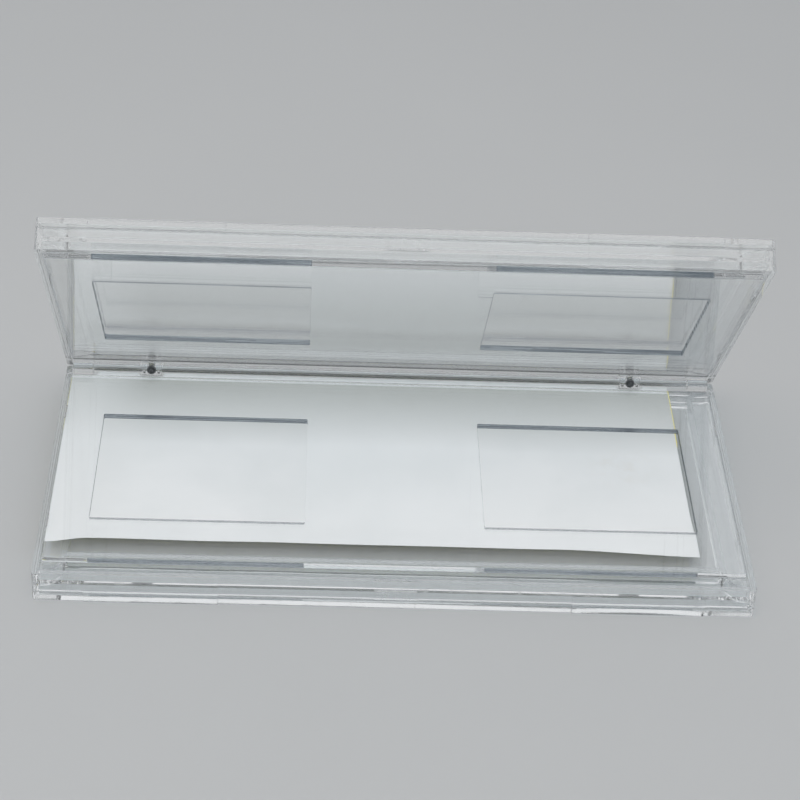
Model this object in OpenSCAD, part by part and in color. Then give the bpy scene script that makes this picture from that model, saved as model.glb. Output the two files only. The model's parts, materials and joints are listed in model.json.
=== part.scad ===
// Folding wet palette in clear plastic.
// Two like halves, hinged along the back edge. Each half is an outer cover, a frame
// with a floor deck, and a well plate with two rectangular openings.
// The lower half holds a damp cloth and the palette paper under its well plate, which
// rests on them. The upper half has side ledges in their place.
// Origin: centre of the underside. +X is to the right, the front edge faces -Y.

/* [Case] */
// Width of each half
case_w = 200; // [180:1:240]
// Depth of each half, from the front edge to the hinge axis
case_d = 100; // [95:1:130]
// Thickness of the outer walls
wall = 1.8; // [1.6:0.1:2.4]
// Radius of the upright corner edges
corner_r = 1.0; // [0.6:0.1:3]
// Angle that the lid stands open at
lid_open = 52.8; // [0:0.1:180]
// Gap between the two rims when the lid is shut
rim_gap = 0.1; // [0.06:0.02:0.3]

/* [Cover] */
// Thickness of the cover's flat plate
cover_t = 1.5; // [1.2:0.1:2.5]
// Height of the cover with its skirt
cover_h = 2.8; // [2.6:0.1:4]
// Thickness of the cover's skirt
skirt_t = 0.9; // [0.7:0.1:1.1]
// Width of the seam line that shows between cover and frame
seam_gap = 0.4; // [0.3:0.1:0.8]
// Gap between the skirt and the frame's tongue
tongue_gap = 0.1; // [0.05:0.05:0.2]

/* [Frame] */
// Height of the frame above the seam line
frame_h = 6.0; // [5.6:0.1:8]
// Thickness of the floor deck
deck_t = 1.4; // [1:0.1:2]
// Width of the ledges that carry the well plate
ledge_w = 0.7; // [0.5:0.1:1]
// Thickness of the ribs below the deck
rib_t = 1.8; // [1.2:0.1:2.4]
// Distance of the side ribs from the outer faces
rib_inset_side = 6.8; // [5:0.1:10]
// Distance of the front rib from the front face
rib_inset_front = 11.1; // [9:0.1:16]
// Distance of the back rib from the hinge axis
rib_inset_back = 3.9; // [3:0.1:8]
// Thickness of the webs that join the rib corners to the walls
web_t = 1.2; // [0.8:0.1:2]
// Length of each snap nib over the well plate's edge
nib_l = 6; // [3:0.5:12]
// Height that a snap nib stands out of the wall
nib_out = 0.5; // [0.3:0.05:0.6]
// Distance of the two rows of snap nibs from the hinge axis
nib_places = [24, 76];
// Width of the rough gate mark in the middle of the front edge
gate_w = 12; // [6:1:16]
// Height of the gate mark
gate_h = 3.4; // [2:0.1:5]
// Height that the gate mark stands out of the front face
gate_out = 0.3; // [0.1:0.05:0.5]

/* [Finger pads] */
// Width of each raised pad on the front face
pad_w = 37; // [20:1:50]
// Distance of each pad from the side of the case
pad_inset = 14; // [8:1:20]
// Height that a pad stands out of the front face
pad_out = 0.35; // [0.2:0.05:1]

/* [Well plate] */
// Thickness of the well plate
plate_t = 1.7; // [1.2:0.1:2.2]
// Distance of the well plate's face below the rim
plate_drop = 0.5; // [0.4:0.1:1.5]
// Gap round the well plate's edges
plate_gap = 0.2; // [0.1:0.05:0.5]
// Distance of the plate's back edge from the hinge axis
plate_back = 4.1; // [3.8:0.1:6]
// Distance of the plate's front edge from the front face
plate_front = 8; // [6:0.5:16]
// Width of each well
well_w = 61; // [40:1:68]
// Depth of each well, front to back
well_d = 49.7; // [30:0.1:60]
// Bar between the two wells
well_bar = 51.2; // [20:0.2:60]
// Distance of the wells' back walls from the hinge axis
well_back = 24.2; // [10:0.1:30]
// Radius of the wells' corners
well_r = 0.5; // [0.2:0.1:5]

/* [Paper and cloth] */
// Width of the palette paper
paper_w = 184.2; // [120:0.2:190]
// Depth of the flat part of the palette paper
paper_d = 82; // [60:0.1:84]
// Thickness of the palette paper
paper_t = 0.15; // [0.1:0.05:0.3]
// Height of the paper's turned-up back edge
paper_lip = 1.8; // [0.4:0.1:2]
// Gap between the turned-up edge and the back wall
paper_gap = 0.2; // [0.1:0.1:3]
// Thickness of the damp cloth
cloth_t = 0.4; // [0.3:0.1:0.6]
// Width of cloth that shows beyond the paper's right edge
cloth_show = 0.1; // [0:0.05:0.8]
// Gap between the cloth's left edge and the side wall
cloth_gap = 0.05; // [0.05:0.05:2]
// Width of cloth that shows beyond the paper's left edge
cloth_show_left = 0.1; // [0:0.05:0.8]

/* [Hinge] */
// Radius of the hinge rod
rod_r = 0.75; // [0.6:0.05:1]
// Radial clearance of the rod in the hinge blocks
rod_fit = 0.05; // [0.02:0.01:0.1]
// Gap between the rod and the rear walls
rod_gap = 0.3; // [0.2:0.05:0.5]
// Radius of the end knuckles on the lid
knuckle_r = 3.2; // [2.5:0.1:3.4]
// Width of each end knuckle
knuckle_w = 6; // [4:0.5:10]
// Radius of the hinge blocks on the base
block_r = 2.5; // [2.2:0.1:3.1]
// Width of each hinge block
block_w = 6.1; // [4.8:0.1:9]
// Distance of each hinge block's middle from the side of the case
block_inset = 26; // [18:1:40]
// Gap between the parts that turn past each other
turn_gap = 0.3; // [0.2:0.05:0.4]
// Gap that keeps the two back faces apart when the lid lies flat
back_gap = 0.2; // [0.1:0.05:0.5]
// Radius of the friction plugs
plug_r = 1.4; // [1:0.1:1.6]
// Direction of the friction plugs, above the horizontal
plug_tilt = 14; // [0:1:60]
// Height that a plug stands out of its block
plug_out = 0.2; // [0.1:0.05:0.25]
// Gap between a plug's tip and the rod
plug_tip_gap = 0.1; // [0.05:0.05:0.2]
// Radius of the four dimples round each plug
dimple_r = 0.4; // [0.2:0.05:0.5]
// Depth of the dimples
dimple_h = 0.8; // [0.3:0.1:1]

/* [Hidden] */
$fn = 48;

clear = [0.80, 0.88, 0.92, 0.5];
cut = 0.5;                                  // how far a cutter runs past the face it opens
half_h = cover_h + seam_gap + frame_h;      // height of one half
axis_z = half_h + rim_gap / 2;              // height of the hinge axis
axis_y = case_d / 2;                        // the hinge axis runs along the back edge
front_y = axis_y - case_d;
back_y = axis_y - back_gap / 2;             // the halves' back faces
seam_z = cover_h + seam_gap;
inner_x = case_w / 2 - wall;                // inner faces of the side walls
inner_back_y = back_y - wall;

plate_top = half_h - plate_drop;
plate_z = plate_top - plate_t;              // underside of the well plate
deck_top = plate_z - paper_t - cloth_t;
deck_z = deck_top - deck_t;
plate_back_y = axis_y - plate_back;
plate_front_y = front_y + plate_front;

rib_x = case_w / 2 - rib_inset_side;
rib_front_y = front_y + rib_inset_front;
rib_back_y = axis_y - rib_inset_back;

cloth_x = -inner_x + cloth_gap;             // left edge of the cloth
paper_x = cloth_x + cloth_show_left;        // left edge of the paper
paper_back_y = inner_back_y - paper_gap;

block_x = case_w / 2 - block_inset;         // middle of the right hinge block
knuckle_x = inner_x - turn_gap - knuckle_w; // inner end of the right knuckle
rod_half = knuckle_x + knuckle_w;           // the rod ends level with the knuckles
dimple_x = (plug_r + block_w / 2) / 2;      // dimples sit midway between plug and end
dimple_turn = 20;                           // and this far round the block to each side

// A flat rectangle with round corners, from (x0, y0) to (x1, y1)
module round_rect(x0, y0, x1, y1, r) {
    for (x = [x0 + r, x1 - r], y = [y0 + r, y1 - r]) translate([x, y]) circle(r);
    translate([x0 + r, y0]) square([x1 - x0 - 2 * r, y1 - y0]);
    translate([x0, y0 + r]) square([x1 - x0, y1 - y0 - 2 * r]);
}

// The outline of one half, drawn in by some distance
module outline(inset) {
    r = max(corner_r - inset, 0.1);
    round_rect(-case_w / 2 + inset, front_y + inset, case_w / 2 - inset, back_y - inset, r);
}

// An upright wall round the outline, between two insets and two heights
module ring_wall(z0, z1, inset0, inset1) {
    translate([0, 0, z0]) linear_extrude(z1 - z0) difference() {
        outline(inset0);
        outline(inset1);
    }
}

// A straight cylinder along X about the hinge axis, from x0 to x1
module about_axis(r, x0, x1) {
    translate([x0, axis_y, axis_z]) rotate([0, 90, 0]) cylinder(h = x1 - x0, r = r);
}

// Two finger pads on the front face, between two heights, rooted some way into it
module finger_pads(z0, z1, root) {
    for (side = [-1, 1])
        translate([side * (case_w / 2 - pad_inset - pad_w / 2) - pad_w / 2, front_y - pad_out, z0])
            cube([pad_w, pad_out + root, z1 - z0]);
}

// The outer cover of one half: a plate with a low skirt
module cover_half() {
    linear_extrude(cover_t) outline(0);
    ring_wall(cover_t / 2, cover_h, 0, skirt_t);
    finger_pads(0, cover_h, skirt_t / 2);
}

// The ring of ribs below the deck, with webs out to the walls' corners
module deck_ribs() {
    rib_h = deck_z - cover_t + deck_t / 2;
    translate([0, 0, cover_t]) linear_extrude(rib_h) {
        difference() {
            translate([-rib_x, rib_front_y]) square([2 * rib_x, rib_back_y - rib_front_y]);
            translate([-rib_x + rib_t, rib_front_y + rib_t])
                square([2 * (rib_x - rib_t), rib_back_y - rib_front_y - 2 * rib_t]);
        }
        for (side = [-1, 1]) {
            scale_x(side) front_web();
            scale_x(side) back_web();
        }
    }
}

// Mirrors a flat shape to the left side when side is -1
module scale_x(side) {
    if (side < 0) mirror([1, 0]) children();
    else children();
}

// A quarter-round web from the front corner of the ribs to the side wall
module front_web() {
    web_r = inner_x - rib_x + web_t;
    translate([inner_x, rib_front_y]) intersection() {
        difference() {
            circle(web_r);
            circle(web_r - web_t);
        }
        translate([-web_r, -web_r]) square([web_r + wall / 2, web_r]);
    }
}

// A straight web from the back corner of the ribs to the corner of the walls
module back_web() {
    run_x = inner_x - rib_x + wall / 2;
    run_y = inner_back_y - rib_back_y + wall / 2;
    polygon([
        [rib_x - web_t, rib_back_y - web_t], [rib_x, rib_back_y - web_t],
        [rib_x + run_x, rib_back_y + run_y - web_t], [rib_x + run_x, rib_back_y + run_y],
        [rib_x + run_x - web_t, rib_back_y + run_y], [rib_x - web_t, rib_back_y]
    ]);
}

// Small nibs on the side walls that snap over the well plate
module snap_nibs() {
    nib_r = nib_out;
    for (side = [-1, 1], place = nib_places)
        translate([side * inner_x, axis_y - place - nib_l / 2, plate_top + nib_r])
            rotate([-90, 0, 0]) cylinder(h = nib_l, r = nib_r);
}

// A ledge under the well plate's front edge, from wall to wall
module front_ledge() {
    translate([-inner_x - wall / 2, plate_front_y, deck_z])
        cube([2 * inner_x + wall, ledge_w, plate_z - deck_z]);
}

// Ledges under the well plate's sides, in the half that holds no sheets
module side_ledges() {
    ledge_root = ledge_w + wall / 2;
    for (side = [-1, 1])
        translate([side * (inner_x - ledge_w + ledge_root / 2) - ledge_root / 2, plate_front_y, deck_z])
            cube([ledge_root, plate_back_y - plate_front_y, plate_z - deck_z]);
}

// The frame of one half, before its hinge parts are added
module frame_half() {
    ring_wall(seam_z, half_h, 0, wall);
    ring_wall(cover_t, seam_z + wall / 2, skirt_t + tongue_gap, wall);
    translate([0, 0, deck_z]) linear_extrude(deck_t) outline(wall / 2);
    front_ledge();
    deck_ribs();
    intersection() {
        snap_nibs();
        translate([-case_w, -case_d, 0]) cube([2 * case_w, 2 * case_d, half_h]);
    }
    finger_pads(seam_z, half_h, wall / 2);
    translate([-gate_w / 2, front_y - gate_out, seam_z])
        cube([gate_w, gate_out + wall / 2, gate_h]);
}

// A groove along both back edges that clears the rod
module rod_groove() {
    about_axis(rod_r + rod_gap, -rod_half - turn_gap, rod_half + turn_gap);
}

// Turns a shape that points up so that it points the way the plugs face
module on_plug_line(x) {
    translate([x, axis_y, axis_z]) rotate([90 - plug_tilt, 0, 0]) children();
}

// Two barrels about the axis where the hinge blocks are, larger and longer by some gap
module block_barrels(gap) {
    for (side = [-1, 1])
        about_axis(block_r + gap, side * block_x - block_w / 2 - gap, side * block_x + block_w / 2 + gap);
}

// The lid's end knuckles, as modelled in the lower half and mirrored up
module end_knuckles() {
    for (side = [-1, 1]) {
        x0 = side > 0 ? knuckle_x : -knuckle_x - knuckle_w;
        about_axis(knuckle_r, x0, x0 + knuckle_w);
        translate([x0, back_y - knuckle_r, deck_top - deck_t / 2])
            cube([knuckle_w, knuckle_r, axis_z - knuckle_r / 2 - deck_top + deck_t / 2]);
    }
}

// The space that the end knuckles turn in
module knuckle_room() {
    for (side = [-1, 1]) {
        x0 = side > 0 ? knuckle_x - turn_gap : -inner_x;
        about_axis(knuckle_r + turn_gap, x0, x0 + knuckle_w + 2 * turn_gap);
    }
}

// Four small dimples in each hinge block, round its plug
module dimples() {
    for (side = [-1, 1], dx = [-1, 1], turn = [-dimple_turn, dimple_turn])
        translate([side * block_x + dx * dimple_x, axis_y, axis_z])
            rotate([90 - plug_tilt + turn, 0, 0])
                translate([0, 0, block_r - dimple_h]) cylinder(h = dimple_h + cut, r = dimple_r);
}

// Places a lower half's shape as the upper half, shut
module mirrored_up() {
    translate([0, 0, 2 * axis_z]) mirror([0, 0, 1]) children();
}

// Swings a shut lid's shape open about the hinge axis
module swung_open() {
    translate([0, axis_y, axis_z]) rotate([-lid_open, 0, 0]) translate([0, -axis_y, -axis_z])
        children();
}

// A clear plate with two wells cut through it
module well_plate() {
    edge_x = inner_x - plate_gap;
    well_y = axis_y - well_back - well_d;
    translate([0, 0, plate_z]) linear_extrude(plate_t) difference() {
        translate([-edge_x, plate_front_y]) square([2 * edge_x, plate_back_y - plate_front_y]);
        for (x = [-well_bar / 2 - well_w, well_bar / 2])
            round_rect(x, well_y, x + well_w, well_y + well_d, well_r);
    }
}

// One friction plug: a short pin whose tip faces the rod
module friction_plug(side) {
    plug_from = rod_r + plug_tip_gap;
    color([0.03, 0.03, 0.035]) on_plug_line(side * block_x)
        translate([0, 0, plug_from]) cylinder(h = block_r + plug_out - plug_from, r = plug_r);
}

module base_cover() { color(clear) cover_half(); }

module base_frame() {
    color(clear) difference() {
        union() {
            difference() {
                frame_half();
                rod_groove();
            }
            block_barrels(0);
        }
        about_axis(rod_r + rod_fit, -rod_half - turn_gap, rod_half + turn_gap);
        knuckle_room();
        for (side = [-1, 1]) on_plug_line(side * block_x) cylinder(h = block_r + cut, r = plug_r);
        dimples();
    }
}

module base_well_plate() { color(clear) well_plate(); }

module hydration_cloth() {
    color([0.93, 0.86, 0.45]) difference() {
        translate([cloth_x, paper_back_y - paper_d, deck_top])
            cube([cloth_show_left + paper_w + cloth_show, paper_d, cloth_t]);
        knuckle_room();
    }
}

// The paper, cut out round the hinge blocks and the left knuckle
module palette_paper() {
    color([0.95, 0.96, 0.97]) difference() {
        translate([paper_x, paper_back_y - paper_d, deck_top + cloth_t]) {
            cube([paper_w, paper_d, paper_t]);
            translate([0, paper_d - paper_t, 0]) cube([paper_w, paper_t, paper_t + paper_lip]);
        }
        knuckle_room();
        block_barrels(turn_gap);
    }
}

module friction_plug_left() { friction_plug(-1); }

module friction_plug_right() { friction_plug(1); }

module lid_cover() { color(clear) swung_open() mirrored_up() cover_half(); }

module lid_frame() {
    color(clear) swung_open() mirrored_up() difference() {
        union() {
            difference() {
                union() {
                    frame_half();
                    side_ledges();
                }
                rod_groove();
                block_barrels(plug_out + turn_gap);
            }
            end_knuckles();
        }
        about_axis(rod_r, -rod_half - turn_gap / 2, rod_half + turn_gap / 2);
    }
}

module lid_well_plate() { color(clear) swung_open() mirrored_up() well_plate(); }

module hinge_rod() { color([0.78, 0.80, 0.82]) about_axis(rod_r, -rod_half, rod_half); }

base_cover();
base_frame();
base_well_plate();
hydration_cloth();
palette_paper();
friction_plug_left();
friction_plug_right();
lid_cover();
lid_frame();
lid_well_plate();
hinge_rod();
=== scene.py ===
"""The looks of a clear folding wet palette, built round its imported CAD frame.

Everything is in metres, in the frame's own coordinates: +X right, the hinge along the back edge.
The clear mouldings are copies of their CAD nodes with rounded edges and a hair of air between
them. The paper, the cloth and the friction plugs are modelled here.
"""

import json
import math

import bmesh
import bpy
from mathutils import Matrix, Vector, noise


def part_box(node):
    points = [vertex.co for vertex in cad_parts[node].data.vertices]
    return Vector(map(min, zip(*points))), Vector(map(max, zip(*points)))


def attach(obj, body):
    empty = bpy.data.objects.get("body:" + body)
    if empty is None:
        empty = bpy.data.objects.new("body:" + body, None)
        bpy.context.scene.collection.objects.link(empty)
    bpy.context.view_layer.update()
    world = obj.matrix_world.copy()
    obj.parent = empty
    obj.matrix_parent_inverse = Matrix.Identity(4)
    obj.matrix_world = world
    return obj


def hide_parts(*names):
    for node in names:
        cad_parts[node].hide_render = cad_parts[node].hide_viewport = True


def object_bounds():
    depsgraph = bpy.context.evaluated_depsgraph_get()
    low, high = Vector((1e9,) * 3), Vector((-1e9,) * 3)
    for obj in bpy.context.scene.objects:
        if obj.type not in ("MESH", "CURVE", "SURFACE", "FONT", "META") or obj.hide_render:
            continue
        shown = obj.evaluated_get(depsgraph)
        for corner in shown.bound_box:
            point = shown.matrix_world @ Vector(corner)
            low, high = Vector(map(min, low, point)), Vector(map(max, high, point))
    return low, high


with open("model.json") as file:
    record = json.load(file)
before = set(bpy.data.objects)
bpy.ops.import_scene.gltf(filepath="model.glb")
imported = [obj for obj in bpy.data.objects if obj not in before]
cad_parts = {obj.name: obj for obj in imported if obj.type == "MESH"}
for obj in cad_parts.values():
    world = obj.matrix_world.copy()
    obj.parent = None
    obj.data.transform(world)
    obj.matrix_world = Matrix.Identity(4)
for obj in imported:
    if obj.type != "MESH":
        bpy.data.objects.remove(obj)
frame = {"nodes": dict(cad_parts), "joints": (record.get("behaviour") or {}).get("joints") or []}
CAD_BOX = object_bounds()
MM = 0.001

# Camera, fitted to the corners of both halves and of the four wells
CAMERA_AT = Vector((-0.02582, -0.53559, 0.41853))
CAMERA_TURN_DEG = (54.400, -2.634, -0.942)
LENS_MM = 103.76
SENSOR_MM = 36.0

# Hinge
HINGE = frame["joints"][0]
LID_OPEN = math.radians(-HINGE["range_deg"][0])
AXIS_Y, AXIS_Z = HINGE["pos_m"][1], HINGE["pos_m"][2]

# The studio: its colours near the horizon and overhead, and the heights between which one turns
# into the other, as the height of a direction of length 1
HORIZON = (0.50, 0.505, 0.51, 1)
OVERHEAD = (0.128, 0.132, 0.137, 1)
SKY_PALE_UP_TO, SKY_DIM_FROM = 0.20, 0.45
FLOOR_HALF = 6.0
FLOOR_LIT_UP_TO, FLOOR_PALE_FROM = 0.6, 1.6     # distance from the middle of the floor
LAMPS_AIM_AT = Vector((0, 0, 0.02))

# Clear mouldings
WELD_WITHIN = 0.001 * MM        # corners of a CAD mesh that are closer than this are one
FLAT = math.radians(0.5)        # and faces that turn by less than this are one flat face
SAME_WAY = 0.999                # cosine between two normals, above which they are one direction
EDGE_ROUND = 0.16 * MM          # radius of the moulded edges
ROOM = 2.05 * EDGE_ROUND        # an edge shorter than this can't have both its ends rounded off
AIR = 0.02 * MM                 # how far each clear face is drawn in, so that no two faces touch
SETTLE_STEPS = 12               # steps in which a corner finds its drawn-in place
SHARP = math.radians(25)        # edges that turn by more than this are rounded
RUNS_ON = -0.86                 # cosine between two edges, below which one carries on from the other
ACUTE = 0.5                     # and above which they leave no room between them
SAME_CURVE_DEG = 14             # faces that turn by less than this are one curved surface
HALF_EDGE_DEG = 30              # a rounded edge turns in two steps, each with a flat face beside it
WHOLE_EDGE_DEG = 50
STYRENE_IOR = 1.57
FLOW_DEPTH = 0.006 * MM         # of the faint waves in a moulded face
TEAR_DEPTH = 0.10 * MM          # of the torn face where a gate was snapped off

# The front of each half, in its own flat position, where the mould left its gate mark
GATE_HALF_W = 6.2 * MM
GATE_Y = CAD_BOX[0].y + 0.2 * MM

# The lower well plate, and how far inside its outer edges any face of a well lies at least
PLATE_LOW, PLATE_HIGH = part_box("base_well_plate")
WELL_INSET = 1.0 * MM


# ---------------------------------------------------------------- helpers

def add_object(name, data):
    obj = bpy.data.objects.new(name, data)
    bpy.context.scene.collection.objects.link(obj)
    return obj


def mesh_object(name, bm):
    mesh = bpy.data.meshes.new(name)
    bm.normal_update()
    bm.to_mesh(mesh)
    bm.free()
    return add_object(name, mesh)


def smooth(t):
    """An ease from 0 to 1."""
    t = min(max(t, 0.0), 1.0)
    return t * t * (3 - 2 * t)


class Nodes:
    """A material's node tree, with short calls to add and join its nodes."""

    def __init__(self, name):
        self.material = bpy.data.materials.new(name)
        self.material.use_nodes = True
        self.tree = self.material.node_tree
        self.tree.nodes.clear()
        self.output = self.add("OutputMaterial")

    def add(self, kind, **inputs):
        node = self.tree.nodes.new("ShaderNode" + kind)
        for name, value in inputs.items():
            self.feed(node, name, value)
        return node

    def feed(self, node, name, value):
        """Sets an input, or links it when value is another node's output."""
        socket = node.inputs[name if isinstance(name, int) else name.replace("_", " ")]
        if isinstance(value, bpy.types.NodeSocket):
            self.tree.links.new(value, socket)
        else:
            socket.default_value = value

    def where(self, scale=(1, 1, 1), turn=(0, 0, 0)):
        """The surface point in the object's own coordinates, scaled and turned."""
        point = self.add("TexCoord").outputs["Object"]
        return self.add("Mapping", Vector=point, Scale=scale, Rotation=turn).outputs["Vector"]

    def noise(self, point, scale, detail=2.0, rough=0.5):
        return self.add("TexNoise", Vector=point, Scale=scale, Detail=detail,
                        Roughness=rough).outputs["Fac"]

    def remap(self, value, low, high, to_low, to_high):
        node = self.add("MapRange", Value=value)
        node.inputs["From Min"].default_value = low
        node.inputs["From Max"].default_value = high
        node.inputs["To Min"].default_value = to_low
        node.inputs["To Max"].default_value = to_high
        return node.outputs["Result"]

    def math(self, operation, a, b=0.0):
        node = self.add("Math")
        node.operation = operation
        self.feed(node, 0, a)
        self.feed(node, 1, b)
        return node.outputs[0]

    def mix(self, share, a, b):
        node = self.add("Mix")
        node.data_type = "RGBA"
        self.feed(node, 0, share)
        self.feed(node, 6, a)
        self.feed(node, 7, b)
        return node.outputs[2]

    def bump(self, height, distance):
        return self.add("Bump", Height=height, Distance=distance, Strength=1.0).outputs["Normal"]

    def surface(self, shader):
        self.tree.links.new(shader, self.output.inputs["Surface"])
        return self.material


# ---------------------------------------------------------------- materials

def scratches(n, turn, fineness):
    """Thin straight streaks in one direction, from 0 to 1."""
    point = n.where(scale=(fineness, 18, fineness), turn=(turn, turn, turn))
    streak = n.noise(point, 1.0, detail=1.0)
    return n.remap(streak, 0.70, 0.76, 0.0, 1.0)


def clear_plastic(name, tint, lamp_tint, haze=0.006):
    """Clear polystyrene: faint flow waves from moulding, and fine scratches where it was handled."""
    n = Nodes(name)
    point = n.where()
    handled = n.remap(n.noise(point, 30, detail=2), 0.50, 0.62, 0.0, 1.0)
    streaks = n.math("MAXIMUM", scratches(n, 0.35, 2600), scratches(n, -1.1, 2100))
    marks = n.math("MULTIPLY", streaks, handled)
    film = n.remap(n.noise(point, 55, detail=4), 0.50, 0.78, haze, haze + 0.018)
    rough = n.math("ADD", film, n.math("MULTIPLY", marks, 0.06))
    flow = n.noise(point, 28, detail=1)
    height = n.math("ADD", flow, n.math("MULTIPLY", marks, 0.03))
    glass = n.add("BsdfPrincipled", Base_Color=tint, Roughness=rough, IOR=STYRENE_IOR,
                  Transmission_Weight=1.0, Normal=n.bump(height, FLOW_DEPTH))
    return n.surface(lamps_through(n, glass, lamp_tint))


def torn_plastic(name, tint, lamp_tint):
    """The same plastic where a gate was snapped off: uneven, and whitish in specks."""
    n = Nodes(name)
    tears = n.noise(n.where(scale=(350, 900, 900)), 1.0, detail=4, rough=0.65)
    specks = n.remap(n.noise(n.where(), 700, detail=3, rough=0.7), 0.52, 0.66, 0.0, 1.0)
    rough = n.remap(specks, 0.0, 1.0, 0.03, 0.35)
    glass = n.add("BsdfPrincipled", Base_Color=tint, Roughness=rough, IOR=STYRENE_IOR,
                  Transmission_Weight=n.remap(specks, 0.0, 1.0, 1.0, 0.85),
                  Normal=n.bump(tears, TEAR_DEPTH))
    return n.surface(lamps_through(n, glass, lamp_tint))


def cut_plastic_painted_shade(name, lamp_tint):
    """The wells' upright faces: a little rough along the cut, with painted shade in dark greys, so that
    they show as grey lines.
    """
    n = Nodes(name)
    lines = n.noise(n.where(scale=(40, 40, 2600)), 1.0, detail=3)
    # Painted shade: dark greys that stand in for the dark lines that refraction gives at the wells'
    # edges
    colour = n.mix(n.remap(lines, 0.35, 0.65, 0.0, 1.0), (0.15, 0.18, 0.21, 1), (0.30, 0.34, 0.38, 1))
    rough = n.remap(lines, 0.3, 0.7, 0.15, 0.35)
    glass = n.add("BsdfPrincipled", Base_Color=colour, Roughness=rough, IOR=STYRENE_IOR,
                  Transmission_Weight=0.4)
    return n.surface(lamps_through(n, glass, lamp_tint))


def lamps_through(n, glass, lamp_tint):
    """Lets the lamps' light reach what lies under the clear plastic, a little tinted."""
    path = n.add("LightPath")
    passing = n.add("BsdfTransparent", Color=lamp_tint)
    unbent = n.math("MAXIMUM", path.outputs["Is Shadow Ray"], path.outputs["Is Diffuse Ray"])
    mix = n.add("MixShader")
    n.feed(mix, 0, unbent)
    n.feed(mix, 1, glass.outputs[0])
    n.feed(mix, 2, passing.outputs[0])
    return mix.outputs[0]


def coated_paper(name):
    """Smooth white palette paper, moist from below: slight cockle, fibres, a faint stain,
    and painted shade towards its back and along its left edge.
    """
    n = Nodes(name)
    point = n.where()
    cloudy = n.noise(point, 40, detail=3)
    base = n.mix(n.remap(cloudy, 0.35, 0.65, 0.0, 1.0), (0.80, 0.825, 0.84, 1), (0.845, 0.865, 0.88, 1))
    stained = n.mix(paper_stain(n, point), base, (0.66, 0.61, 0.54, 1))
    # Painted shade: grey mixed into the paper towards its back and along its left edge, where the lid
    # shades it
    colour = n.mix(paper_painted_shade(n, point, cloudy), stained, (0.39, 0.41, 0.39, 1))
    fibres = n.noise(point, 1400, detail=3, rough=0.6)
    cockle = n.noise(n.where(scale=(1, 0.35, 1)), 60, detail=1)
    height = n.math("ADD", cockle, n.math("MULTIPLY", fibres, 0.02))
    rough = n.remap(fibres, 0.3, 0.7, 0.42, 0.6)
    paper = n.add("BsdfPrincipled", Base_Color=colour, Roughness=rough,
                  Normal=n.bump(height, COCKLE_DEPTH))
    return n.surface(paper.outputs[0])


def paper_stain(n, point):
    """One faint blotchy stain, from 0 to its share of the colour."""
    away = n.add("VectorMath", Vector=point)
    away.operation = "DISTANCE"
    away.inputs[1].default_value = STAIN_AT
    stain = n.remap(away.outputs["Value"], STAIN_R, 0.2 * STAIN_R, 0.0, 1.0)
    return n.math("MULTIPLY", stain, n.remap(n.noise(point, 260, detail=5), 0.45, 0.80, 0.0, 0.22))


def paper_painted_shade(n, point, cloudy):
    """Painted shade on the paper, where the lid and its walls shade it: more and more towards its back,
    but evenly along its left edge, and none where it turns up."""
    place = n.add("SeparateXYZ", Vector=point)
    to_back = place.outputs["Y"]
    # wet is the share of painted shade: rising towards the back, and even along the left edge
    wet = n.remap(to_back, SHADE_FROM, SHADE_TO, 0.0, 1.0)
    even = n.remap(place.outputs["X"], LEFT_SHADE_UP_TO, LEFT_SHADE_END, LEFT_SHADE_SHARE, 0.0)
    wet = n.math("ADD", wet, n.math("MULTIPLY", even, n.math("SUBTRACT", LEFT_SHADE_LEVEL, wet)))
    shade_amount = n.math("MULTIPLY", wet, n.remap(cloudy, 0.3, 0.7, 0.86, 0.97))
    # no painted shade where the paper turns up
    unshaded_lip = n.remap(to_back, LIP_UNSHADED_FROM, LIP_UNSHADED_AT, 1.0, 0.0)
    return n.math("MULTIPLY", shade_amount, unshaded_lip)


def damp_cloth(name):
    """Yellow absorbent cloth with a fibrous nap."""
    n = Nodes(name)
    point = n.where()
    nap = n.noise(n.where(scale=(1, 1.6, 1)), 700, detail=4, rough=0.65)
    patches = n.noise(point, 70, detail=3)
    colour = n.mix(n.remap(n.math("ADD", nap, patches), 0.7, 1.3, 0.0, 1.0),
                   (0.72, 0.64, 0.14, 1), (0.88, 0.81, 0.32, 1))
    rough = n.remap(patches, 0.3, 0.7, 0.75, 0.95)
    cloth = n.add("BsdfPrincipled", Base_Color=colour, Roughness=rough,
                  Normal=n.bump(nap, NAP_DEPTH))
    cloth.inputs["Sheen Weight"].default_value = 0.25
    return n.surface(cloth.outputs[0])


def dark_rubber(name):
    """Dark grey rubber with a fine grain."""
    n = Nodes(name)
    point = n.where()
    grain = n.noise(point, 2500, detail=3)
    colour = n.mix(n.noise(point, 500, detail=2), (0.065, 0.070, 0.075, 1), (0.125, 0.132, 0.140, 1))
    rough = n.remap(grain, 0.3, 0.7, 0.45, 0.7)
    rubber = n.add("BsdfPrincipled", Base_Color=colour, Roughness=rough,
                   Normal=n.bump(grain, 0.03 * MM))
    return n.surface(rubber.outputs[0])


def drawn_steel(name):
    """A drawn wire rod, with fine lines along it."""
    n = Nodes(name)
    lines = n.noise(n.where(scale=(60, 9000, 9000)), 1.0, detail=2)
    colour = n.mix(n.noise(n.where(), 120, detail=2), (0.74, 0.76, 0.78, 1), (0.88, 0.90, 0.92, 1))
    rough = n.remap(lines, 0.3, 0.7, 0.36, 0.50)
    steel = n.add("BsdfPrincipled", Base_Color=colour, Metallic=1.0, Roughness=rough,
                  Normal=n.bump(lines, 0.01 * MM))
    return n.surface(steel.outputs[0])


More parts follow.
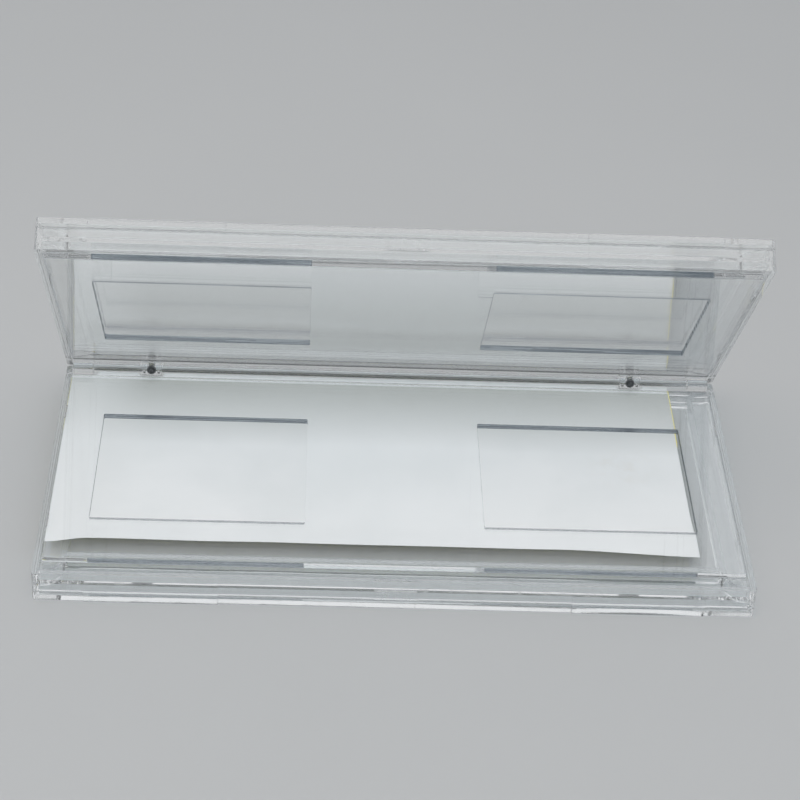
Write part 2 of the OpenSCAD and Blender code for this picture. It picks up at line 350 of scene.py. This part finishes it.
def pale_floor(name):
    """A pale matt floor. Beyond the lamps' reach it keeps its paleness, to the horizon."""
    n = Nodes(name)
    point = n.where()
    colour = n.mix(n.noise(point, 6, detail=3), (0.50, 0.51, 0.52, 1), (0.53, 0.54, 0.55, 1))
    grain = n.noise(point, 900, detail=2)
    floor = n.add("BsdfPrincipled", Base_Color=colour, Roughness=n.remap(grain, 0, 1, 0.5, 0.7),
                  Normal=n.bump(grain, 0.02 * MM))
    distance = n.add("VectorMath", Vector=point)
    distance.operation = "LENGTH"
    far = n.remap(distance.outputs["Value"], FLOOR_LIT_UP_TO, FLOOR_PALE_FROM, 0.0, 1.0)
    path = n.add("LightPath")
    seen = n.math("MAXIMUM", path.outputs["Is Camera Ray"], path.outputs["Is Glossy Ray"])
    seen = n.math("MAXIMUM", seen, path.outputs["Is Transmission Ray"])
    mix = n.add("MixShader")
    n.feed(mix, 0, n.math("MULTIPLY", far, seen))
    n.feed(mix, 1, floor.outputs[0])
    n.feed(mix, 2, n.add("Emission", Color=HORIZON).outputs[0])
    return n.surface(mix.outputs[0])


# ---------------------------------------------------------------- clear mouldings

def node_mesh(node):
    """A CAD node's mesh as a closed bmesh with its flat faces joined up."""
    bm = bmesh.new()
    bm.from_mesh(frame["nodes"][node].data)
    bmesh.ops.remove_doubles(bm, verts=bm.verts, dist=WELD_WITHIN)
    bmesh.ops.dissolve_limit(bm, angle_limit=FLAT, verts=bm.verts, edges=bm.edges)
    bm.normal_update()
    return bm


def draw_in(bm, depth):
    """Moves every face inwards by depth."""
    moves = []
    for vert in bm.verts:
        normals = []
        for face in vert.link_faces:
            if all(face.normal.dot(seen) < SAME_WAY for seen in normals):
                normals.append(face.normal.copy())
        pull = Vector()
        for _ in range(SETTLE_STEPS):
            for normal in normals:
                pull -= normal * (pull.dot(normal) + depth)
        moves.append(pull)
    for vert, pull in zip(bm.verts, moves):
        vert.co += pull


def has_room(edge, vert):
    """True if nothing at this end of the edge is too small to be rounded beside it."""
    along = (edge.other_vert(vert).co - vert.co).normalized()
    for other in vert.link_edges:
        if other is edge:
            continue
        turn = along.dot((other.other_vert(vert).co - vert.co).normalized())
        if is_sharp(other) and turn > ACUTE:
            return False
        runs_on = is_sharp(other) and turn < RUNS_ON
        if not runs_on and other.calc_length() < ROOM:
            return False
    return True


def is_sharp(edge):
    """True if the faces on both sides of the edge meet at a plain corner."""
    return edge.calc_face_angle(0.0) > SHARP


def round_edges(bm, may_round):
    """Rounds every sharp edge that has room for it, and returns the faces that this makes."""
    edges = [e for e in bm.edges
             if is_sharp(e) and may_round(e) and all(has_room(e, v) for v in e.verts)]
    made = bmesh.ops.bevel(bm, geom=edges, offset=EDGE_ROUND, offset_type="OFFSET", segments=2,
                           profile=0.5, affect="EDGES", clamp_overlap=True, miter_outer="ARC",
                           loop_slide=True)
    bm.normal_update()
    return set(made["faces"])


def corner_normal(face, vert, rounded):
    """The shading normal of a face's corner: flat on flat faces, and turning over a rounded edge."""
    def near(limit, faces):
        return [f for f in faces if f.normal.dot(face.normal) > math.cos(math.radians(limit))]

    plain = [f for f in vert.link_faces if f not in rounded]
    if face not in rounded:
        beside = near(SAME_CURVE_DEG, plain)
    else:
        beside = near(HALF_EDGE_DEG, plain) or near(WHOLE_EDGE_DEG, vert.link_faces)
    total = face.normal * 1e-12
    for other in beside:
        total = total + other.normal * other.calc_area()
    return total.normalized()


def flat_place(point, body):
    """A point of either half, moved to where it would be in the lower half."""
    if body == "base":
        return point
    turned = Matrix.Rotation(LID_OPEN, 4, "X") @ (point - Vector((0, AXIS_Y, AXIS_Z)))
    return Vector((turned.x, AXIS_Y + turned.y, AXIS_Z - turned.z))


def is_gate(point, _facing):
    """True if a point of a half, in its flat place, is within its gate mark."""
    return abs(point.x) < GATE_HALF_W and point.y < GATE_Y


def is_well_edge(point, facing):
    """True if a point of a well plate, in its flat place, is on an upright face of a well."""
    inset_x = min(point.x - PLATE_LOW.x, PLATE_HIGH.x - point.x)
    inset_y = min(point.y - PLATE_LOW.y, PLATE_HIGH.y - point.y)
    return min(inset_x, inset_y) > WELL_INSET and abs(facing.z) < 0.5


def clear_piece(node, body, material, other_material=None, has_other=None, sharp_below=-1.0):
    """A moulding as seen: the CAD node's shape with rounded edges, drawn in by a hair.
    has_other says which faces have the other material, by their place and direction.
    Edges lower than sharp_below, in the half's flat place, stay sharp."""
    def may_round(edge):
        return all(flat_place(v.co, body).z > sharp_below for v in edge.verts)

    bm = node_mesh(node)
    draw_in(bm, AIR)
    rounded = round_edges(bm, may_round)
    normals = [corner_normal(face, vert, rounded) for face in bm.faces for vert in face.verts]
    for face in bm.faces:
        face.smooth = True
        centre = face.calc_center_median()
        place = flat_place(centre, body)
        facing = flat_place(centre + face.normal, body) - place
        if other_material and has_other(place, facing):
            face.material_index = 1
    piece = mesh_object(node + "_clear", bm)
    piece.data.normals_split_custom_set(normals)
    piece.data.materials.append(material)
    if other_material:
        piece.data.materials.append(other_material)
    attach(piece, body)
    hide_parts(node)


def clear_mouldings():
    """The cover, the frame and the well plate of each half."""
    tint, plate_tint = (0.990, 0.996, 0.998, 1), (0.996, 0.998, 1.0, 1)
    lamp_tint = (0.945, 0.955, 0.960, 1)        # each face turns back some of the lamps' light
    plate_lamp_tint = (0.998, 1.0, 1.0, 1)
    cover = clear_plastic("clear_cover_plastic", tint, lamp_tint, haze=0.008)
    body = clear_plastic("clear_frame_plastic", tint, lamp_tint)
    plate = clear_plastic("clear_plate_plastic", plate_tint, plate_lamp_tint, haze=0.004)
    gate = torn_plastic("clear_gate_plastic", tint, lamp_tint)
    # the wells' upright faces, with painted shade
    well_edge_shade = cut_plastic_painted_shade("clear_well_edge_painted_shade", plate_lamp_tint)
    on_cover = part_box("base_frame")[0].z + 0.1 * MM
    for half in ("base", "lid"):
        clear_piece(half + "_cover", half, cover)
        clear_piece(half + "_frame", half, body, gate, is_gate, sharp_below=on_cover)
        clear_piece(half + "_well_plate", half, plate, well_edge_shade, is_well_edge)


# ---------------------------------------------------------------- paper and cloth

PAPER_LOW, PAPER_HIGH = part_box("palette_paper")
CLOTH_LOW, CLOTH_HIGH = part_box("hydration_cloth")
HINGE_BLOCKS = [(low.x + high.x) / 2 for low, high in
                (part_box("friction_plug_left"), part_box("friction_plug_right"))]
PAPER_T = 0.08 * MM
PAPER_Z = CLOTH_HIGH.z + 0.5 * PAPER_T + 0.02 * MM     # middle of the flat paper
EDGE_GAP = 0.08 * MM            # between the paper and the back of its box
CURL_DEPTH = 1.4 * MM           # the back edge turns up within this depth
BEND_Y = PAPER_HIGH.y - EDGE_GAP - CURL_DEPTH
LEFT_NOTCH = -91.3 * MM         # left of here the paper is cut back, round the knuckle
NOTCH_DEPTH = 0.65 * MM
BLOCK_HALF_W = 3.4 * MM         # below the hinge blocks the turned-up edge is low
BLOCK_RAMP = 0.6 * MM

# The paper's and the cloth's looks. The paper has painted shade where the lid shades it: greyer towards
# its back edge, more evenly so along its left edge, and none where it turns up.
COCKLE_DEPTH = 0.3 * MM
NAP_DEPTH = 0.15 * MM
SHADE_FROM, SHADE_TO = 14 * MM, 45 * MM
LIP_UNSHADED_FROM, LIP_UNSHADED_AT = BEND_Y - 1.5 * MM, BEND_Y - 0.5 * MM
LEFT_SHADE_UP_TO, LEFT_SHADE_END = -89 * MM, -75 * MM
LEFT_SHADE_SHARE = 0.5
LEFT_SHADE_LEVEL = 0.2
STAIN_AT = (68 * MM, 8 * MM, PAPER_Z)
STAIN_R = 12 * MM


def ripple(x, seed, wavelength):
    """A smooth random wave along an edge, from -1 to 1."""
    return noise.noise(Vector((x / wavelength, seed, 0.0)))


def paper_front(x):
    """The hand-cut front edge: hollow between its two corners."""
    from_left = smooth((x - PAPER_LOW.x) / (12 * MM))
    from_right = smooth((PAPER_HIGH.x - x) / (38 * MM))
    hollow = 1.9 * MM * from_left * from_right
    uneven = 0.22 * MM * ripple(x, 3.0, 22 * MM)
    fuzz = 0.05 * MM * ripple(x, 5.0, 2 * MM)
    return PAPER_LOW.y + 0.1 * MM + hollow + uneven + fuzz


def paper_back(x):
    """The back edge: along the wall, and cut back at the left knuckle."""
    notch = smooth((LEFT_NOTCH - x) / (0.5 * MM))
    return PAPER_HIGH.y - EDGE_GAP - NOTCH_DEPTH * notch


def paper_lift(x):
    """How high the back edge turns up: unevenly, low below the blocks and not at all at the knuckle."""
    lift = (0.95 + 0.05 * ripple(x, 9.0, 30 * MM)) * (PAPER_HIGH.z - PAPER_Z - PAPER_T)
    for block in HINGE_BLOCKS:
        near = smooth((BLOCK_HALF_W + BLOCK_RAMP - abs(x - block)) / BLOCK_RAMP)
        lift *= 1 - 0.75 * near
    return lift * smooth((x - LEFT_NOTCH) / (1.5 * MM))


def paper_height(x, y):
    """The height of the paper's middle: flat, with its back edge turned up in a quarter round."""
    along = (y - BEND_Y) / CURL_DEPTH
    along = min(max(along, 0.0), 1.0)
    return PAPER_Z + paper_lift(x) * (1 - math.sqrt(1 - along ** 2))


def sheet_layer(bm, columns, rows, front, back, left, right, height):
    """One face of a sheet as a grid of points, from front(x) to back(x) and left(y) to right(y)."""
    grid = []
    for i in range(columns + 1):
        share_x = i / columns
        x_mid = left(0) + (right(0) - left(0)) * share_x
        y0, y1 = front(x_mid), back(x_mid)
        line = []
        for share_y in rows:
            y = y0 + (y1 - y0) * share_y
            x = left(y) + (right(y) - left(y)) * share_x
            line.append(bm.verts.new((x, y, height(x, y))))
        grid.append(line)
    return grid


def sheet_mesh(name, columns, rows, front, back, left, right, height, thickness):
    """A thin closed sheet, with its middle at height(x, y)."""
    bm = bmesh.new()
    top = sheet_layer(bm, columns, rows, front, back, left, right,
                      lambda x, y: height(x, y) + 0.5 * thickness)
    under = sheet_layer(bm, columns, rows, front, back, left, right,
                        lambda x, y: height(x, y) - 0.5 * thickness)
    close_sheet(bm, top, under)
    for face in bm.faces:
        face.smooth = True
    obj = mesh_object(name, bm)
    obj.data.set_sharp_from_angle(angle=math.radians(40))
    return obj


def close_sheet(bm, top, under):
    """The faces of both layers, and the narrow ones round their edges."""
    columns, last = len(top) - 1, len(top[0]) - 1
    for i in range(columns):
        for j in range(last):
            bm.faces.new((top[i][j], top[i + 1][j], top[i + 1][j + 1], top[i][j + 1]))
            bm.faces.new((under[i][j], under[i][j + 1], under[i + 1][j + 1], under[i + 1][j]))
        bm.faces.new((top[i][0], under[i][0], under[i + 1][0], top[i + 1][0]))
        bm.faces.new((top[i][last], top[i + 1][last], under[i + 1][last], under[i][last]))
    for j in range(last):
        bm.faces.new((top[0][j], top[0][j + 1], under[0][j + 1], under[0][j]))
        bm.faces.new((top[columns][j], under[columns][j], under[columns][j + 1], top[columns][j + 1]))


def rows_with_fine_back(count, fine_count, fine_share):
    """Shares from 0 to 1, closer together over the last fine_share."""
    coarse = [(1 - fine_share) * i / count for i in range(count)]
    fine = [1 - fine_share + fine_share * i / fine_count for i in range(fine_count + 1)]
    return coarse + fine


def paper_right(y):
    """The right edge runs out a little at the front."""
    flare = 0.4 * MM * smooth((y + 25 * MM) / (12 * MM))
    return PAPER_HIGH.x - flare + 0.02 * MM * ripple(y, 2.0, 8 * MM)


def palette_paper():
    """The sheet of palette paper, laid on the cloth."""
    low, high = PAPER_LOW, PAPER_HIGH
    depth = high.y - low.y
    columns = 480
    rows = rows_with_fine_back(24, 20, 1.1 * CURL_DEPTH / depth)
    paper = sheet_mesh("palette_paper_sheet", columns, rows, front=paper_front, back=paper_back,
                       left=lambda y: low.x + 0.03 * MM, right=paper_right,
                       height=paper_height, thickness=PAPER_T)
    paper.data.materials.append(coated_paper("palette_paper_coated"))
    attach(paper, "base")
    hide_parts("palette_paper")


def hydration_cloth():
    """The moist cloth, laid on the frame's deck. It shows at both sides of the paper's back half."""
    low, high = CLOTH_LOW, CLOTH_HIGH
    tuck = 0.7 * MM         # in its front half the cloth lies inside the paper's edges
    middle = (low.z + high.z) / 2

    def shown(y):
        return smooth((y - 14 * MM) / (8 * MM))

    columns = 120
    cloth = sheet_mesh(
        "hydration_cloth_sheet", columns, rows_with_fine_back(40, 4, 0.05),
        front=lambda x: low.y + 2.9 * MM + 0.3 * MM * ripple(x, 21.0, 14 * MM),
        back=lambda x: paper_back(x) - 0.15 * MM,
        left=lambda y: low.x + tuck * (1 - shown(y)) + 0.05 * MM * (1 + ripple(y, 31.0, 2 * MM)),
        right=lambda y: high.x - tuck * (1 - shown(y)) - 0.08 * MM * (2 + ripple(y, 41.0, 2 * MM)),
        height=lambda x, y: middle, thickness=high.z - low.z - 0.04 * MM)
    cloth.data.materials.append(damp_cloth("hydration_cloth_yellow"))
    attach(cloth, "base")
    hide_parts("hydration_cloth")


# ---------------------------------------------------------------- hinge parts

PLUG_R = 1.37 * MM
PLUG_TILT = math.radians(14)
PLUG_FROM = 0.9 * MM           # the plug's tip, from the hinge axis
PLUG_TO = 2.66 * MM            # its outer face
PLUG_ROUND = 0.3 * MM
PLUG_CHAMFER = 0.1 * MM
GROOVE = PLUG_TO - 0.28 * MM   # the bottom of the ring groove in the outer face


def plug_profile():
    """Radius and height of a rubber plug: a round rim, a ring groove and a low dome."""
    tip = [(0.0, PLUG_FROM), (PLUG_R - PLUG_CHAMFER, PLUG_FROM), (PLUG_R, PLUG_FROM + PLUG_CHAMFER)]
    rim = [(PLUG_R - PLUG_ROUND * (1 - math.cos(a)), PLUG_TO - PLUG_ROUND * (1 - math.sin(a)))
           for a in (math.radians(15 * i) for i in range(7))]
    groove = [(0.95 * MM, PLUG_TO - 0.02 * MM), (0.88 * MM, GROOVE), (0.66 * MM, GROOVE)]
    dome = [(0.58 * MM, PLUG_TO - 0.03 * MM), (0.35 * MM, PLUG_TO + 0.02 * MM),
            (0.0, PLUG_TO + 0.03 * MM)]
    return tip + rim + groove + dome


def lathe(name, profile, steps):
    """A closed round shape from (radius, height) points, about Z."""
    bm = bmesh.new()
    turns = [2 * math.pi * i / steps for i in range(steps)]
    rings = []
    for radius, height in profile:
        if radius == 0.0:
            rings.append([bm.verts.new((0, 0, height))])
        else:
            rings.append([bm.verts.new((radius * math.cos(a), radius * math.sin(a), height))
                          for a in turns])
    for lower, upper in zip(rings, rings[1:]):
        for i in range(steps):
            j = (i + 1) % steps
            corners = (lower[i % len(lower)], lower[j % len(lower)],
                       upper[j % len(upper)], upper[i % len(upper)])
            bm.faces.new(list(dict.fromkeys(corners)))
    for face in bm.faces:
        face.smooth = True
    return mesh_object(name, bm)


def friction_plugs():
    """Both plugs, each in its hinge block, with its tip towards the hinge axis."""
    rubber = dark_rubber("friction_plug_rubber")
    for side in ("left", "right"):
        low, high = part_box("friction_plug_" + side)
        plug = lathe("friction_plug_" + side + "_rubber", plug_profile(), steps=40)
        to_axis = Matrix.Translation(((low.x + high.x) / 2, AXIS_Y, AXIS_Z))
        plug.data.transform(to_axis @ Matrix.Rotation(math.pi / 2 - PLUG_TILT, 4, "X"))
        plug.data.set_sharp_from_angle(angle=math.radians(60))
        plug.data.materials.append(rubber)
        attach(plug, "base")
        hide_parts("friction_plug_" + side)


def hinge_rod():
    """The rod keeps its CAD node's shape and is given its looks."""
    rod = frame["nodes"]["hinge_rod"]
    rod.material_slots[0].material = drawn_steel("hinge_rod_steel")


# ---------------------------------------------------------------- stage

def make_floor():
    bm = bmesh.new()
    bmesh.ops.create_grid(bm, x_segments=1, y_segments=1, size=FLOOR_HALF)
    floor = mesh_object("floor", bm)
    floor.data.materials.append(pale_floor("floor_pale"))


def make_camera():
    data = bpy.data.cameras.new("camera")
    data.lens = LENS_MM
    data.sensor_width = SENSOR_MM
    data.clip_start = 0.01
    data.clip_end = 50
    camera = add_object("camera", data)
    camera.location = CAMERA_AT
    camera.rotation_euler = [math.radians(a) for a in CAMERA_TURN_DEG]
    bpy.context.scene.camera = camera


def softbox(name, at, size, watts, colour, in_walls=False):
    """An area lamp with its long side along X, aimed at the object. It shows by way of the clear
    walls' inner faces only if in_walls is true."""
    data = bpy.data.lights.new(name, "AREA")
    data.shape = "RECTANGLE"
    data.size, data.size_y = size
    data.energy = watts
    data.color = colour
    lamp = add_object(name, data)
    behind = (Vector(at) - LAMPS_AIM_AT).normalized()
    along = (Vector((1, 0, 0)) - behind * behind.x).normalized()
    turn = Matrix((along, behind.cross(along), behind)).transposed()
    lamp.matrix_world = Matrix.Translation(at) @ turn.to_4x4()
    lamp.visible_transmission = in_walls


def make_lights():
    softbox("key", at=(-0.25, -0.22, 1.10), size=(1.4, 0.9), watts=10.8, colour=(1.0, 0.995, 0.98))
    softbox("fill", at=(1.00, -0.30, 0.70), size=(0.9, 0.9), watts=2.8, colour=(0.96, 0.98, 1.0))
    softbox("back", at=(0.00, 0.90, 0.74), size=(1.6, 0.6), watts=2.1, colour=(0.97, 0.985, 1.0),
            in_walls=True)


def make_world():
    """A dim studio, pale near the horizon, where low views see it behind the floor."""
    scene = bpy.context.scene
    scene.world = bpy.data.worlds.new("studio")
    scene.world.use_nodes = True
    tree = scene.world.node_tree
    direction = tree.nodes.new("ShaderNodeTexCoord")
    axes = tree.nodes.new("ShaderNodeSeparateXYZ")
    tree.links.new(direction.outputs["Generated"], axes.inputs[0])
    height = tree.nodes.new("ShaderNodeMapRange")
    height.inputs["From Min"].default_value = SKY_PALE_UP_TO
    height.inputs["From Max"].default_value = SKY_DIM_FROM
    tree.links.new(axes.outputs["Z"], height.inputs["Value"])
    colour = tree.nodes.new("ShaderNodeMix")
    colour.data_type = "RGBA"
    colour.inputs[6].default_value = HORIZON
    colour.inputs[7].default_value = OVERHEAD
    tree.links.new(height.outputs["Result"], colour.inputs[0])
    sky = tree.nodes["Background"]
    tree.links.new(colour.outputs[2], sky.inputs["Color"])
    sky.inputs["Strength"].default_value = 1.0


RAY_STEPS = 96          # a ray that enters a wall's end is turned back inside it many times
LAYERS = 64             # and a lamp's ray passes many clear faces


def light_paths():
    """Enough steps for a ray to find its way out of the thin walls, which else look black."""
    cycles = bpy.context.scene.cycles
    cycles.max_bounces = RAY_STEPS
    cycles.transmission_bounces = RAY_STEPS
    cycles.glossy_bounces = RAY_STEPS
    cycles.transparent_max_bounces = LAYERS


bpy.context.scene.view_settings.view_transform = "Standard"
make_camera()
clear_mouldings()
palette_paper()
hydration_cloth()
friction_plugs()
hinge_rod()
make_floor()
make_world()
make_lights()
light_paths()
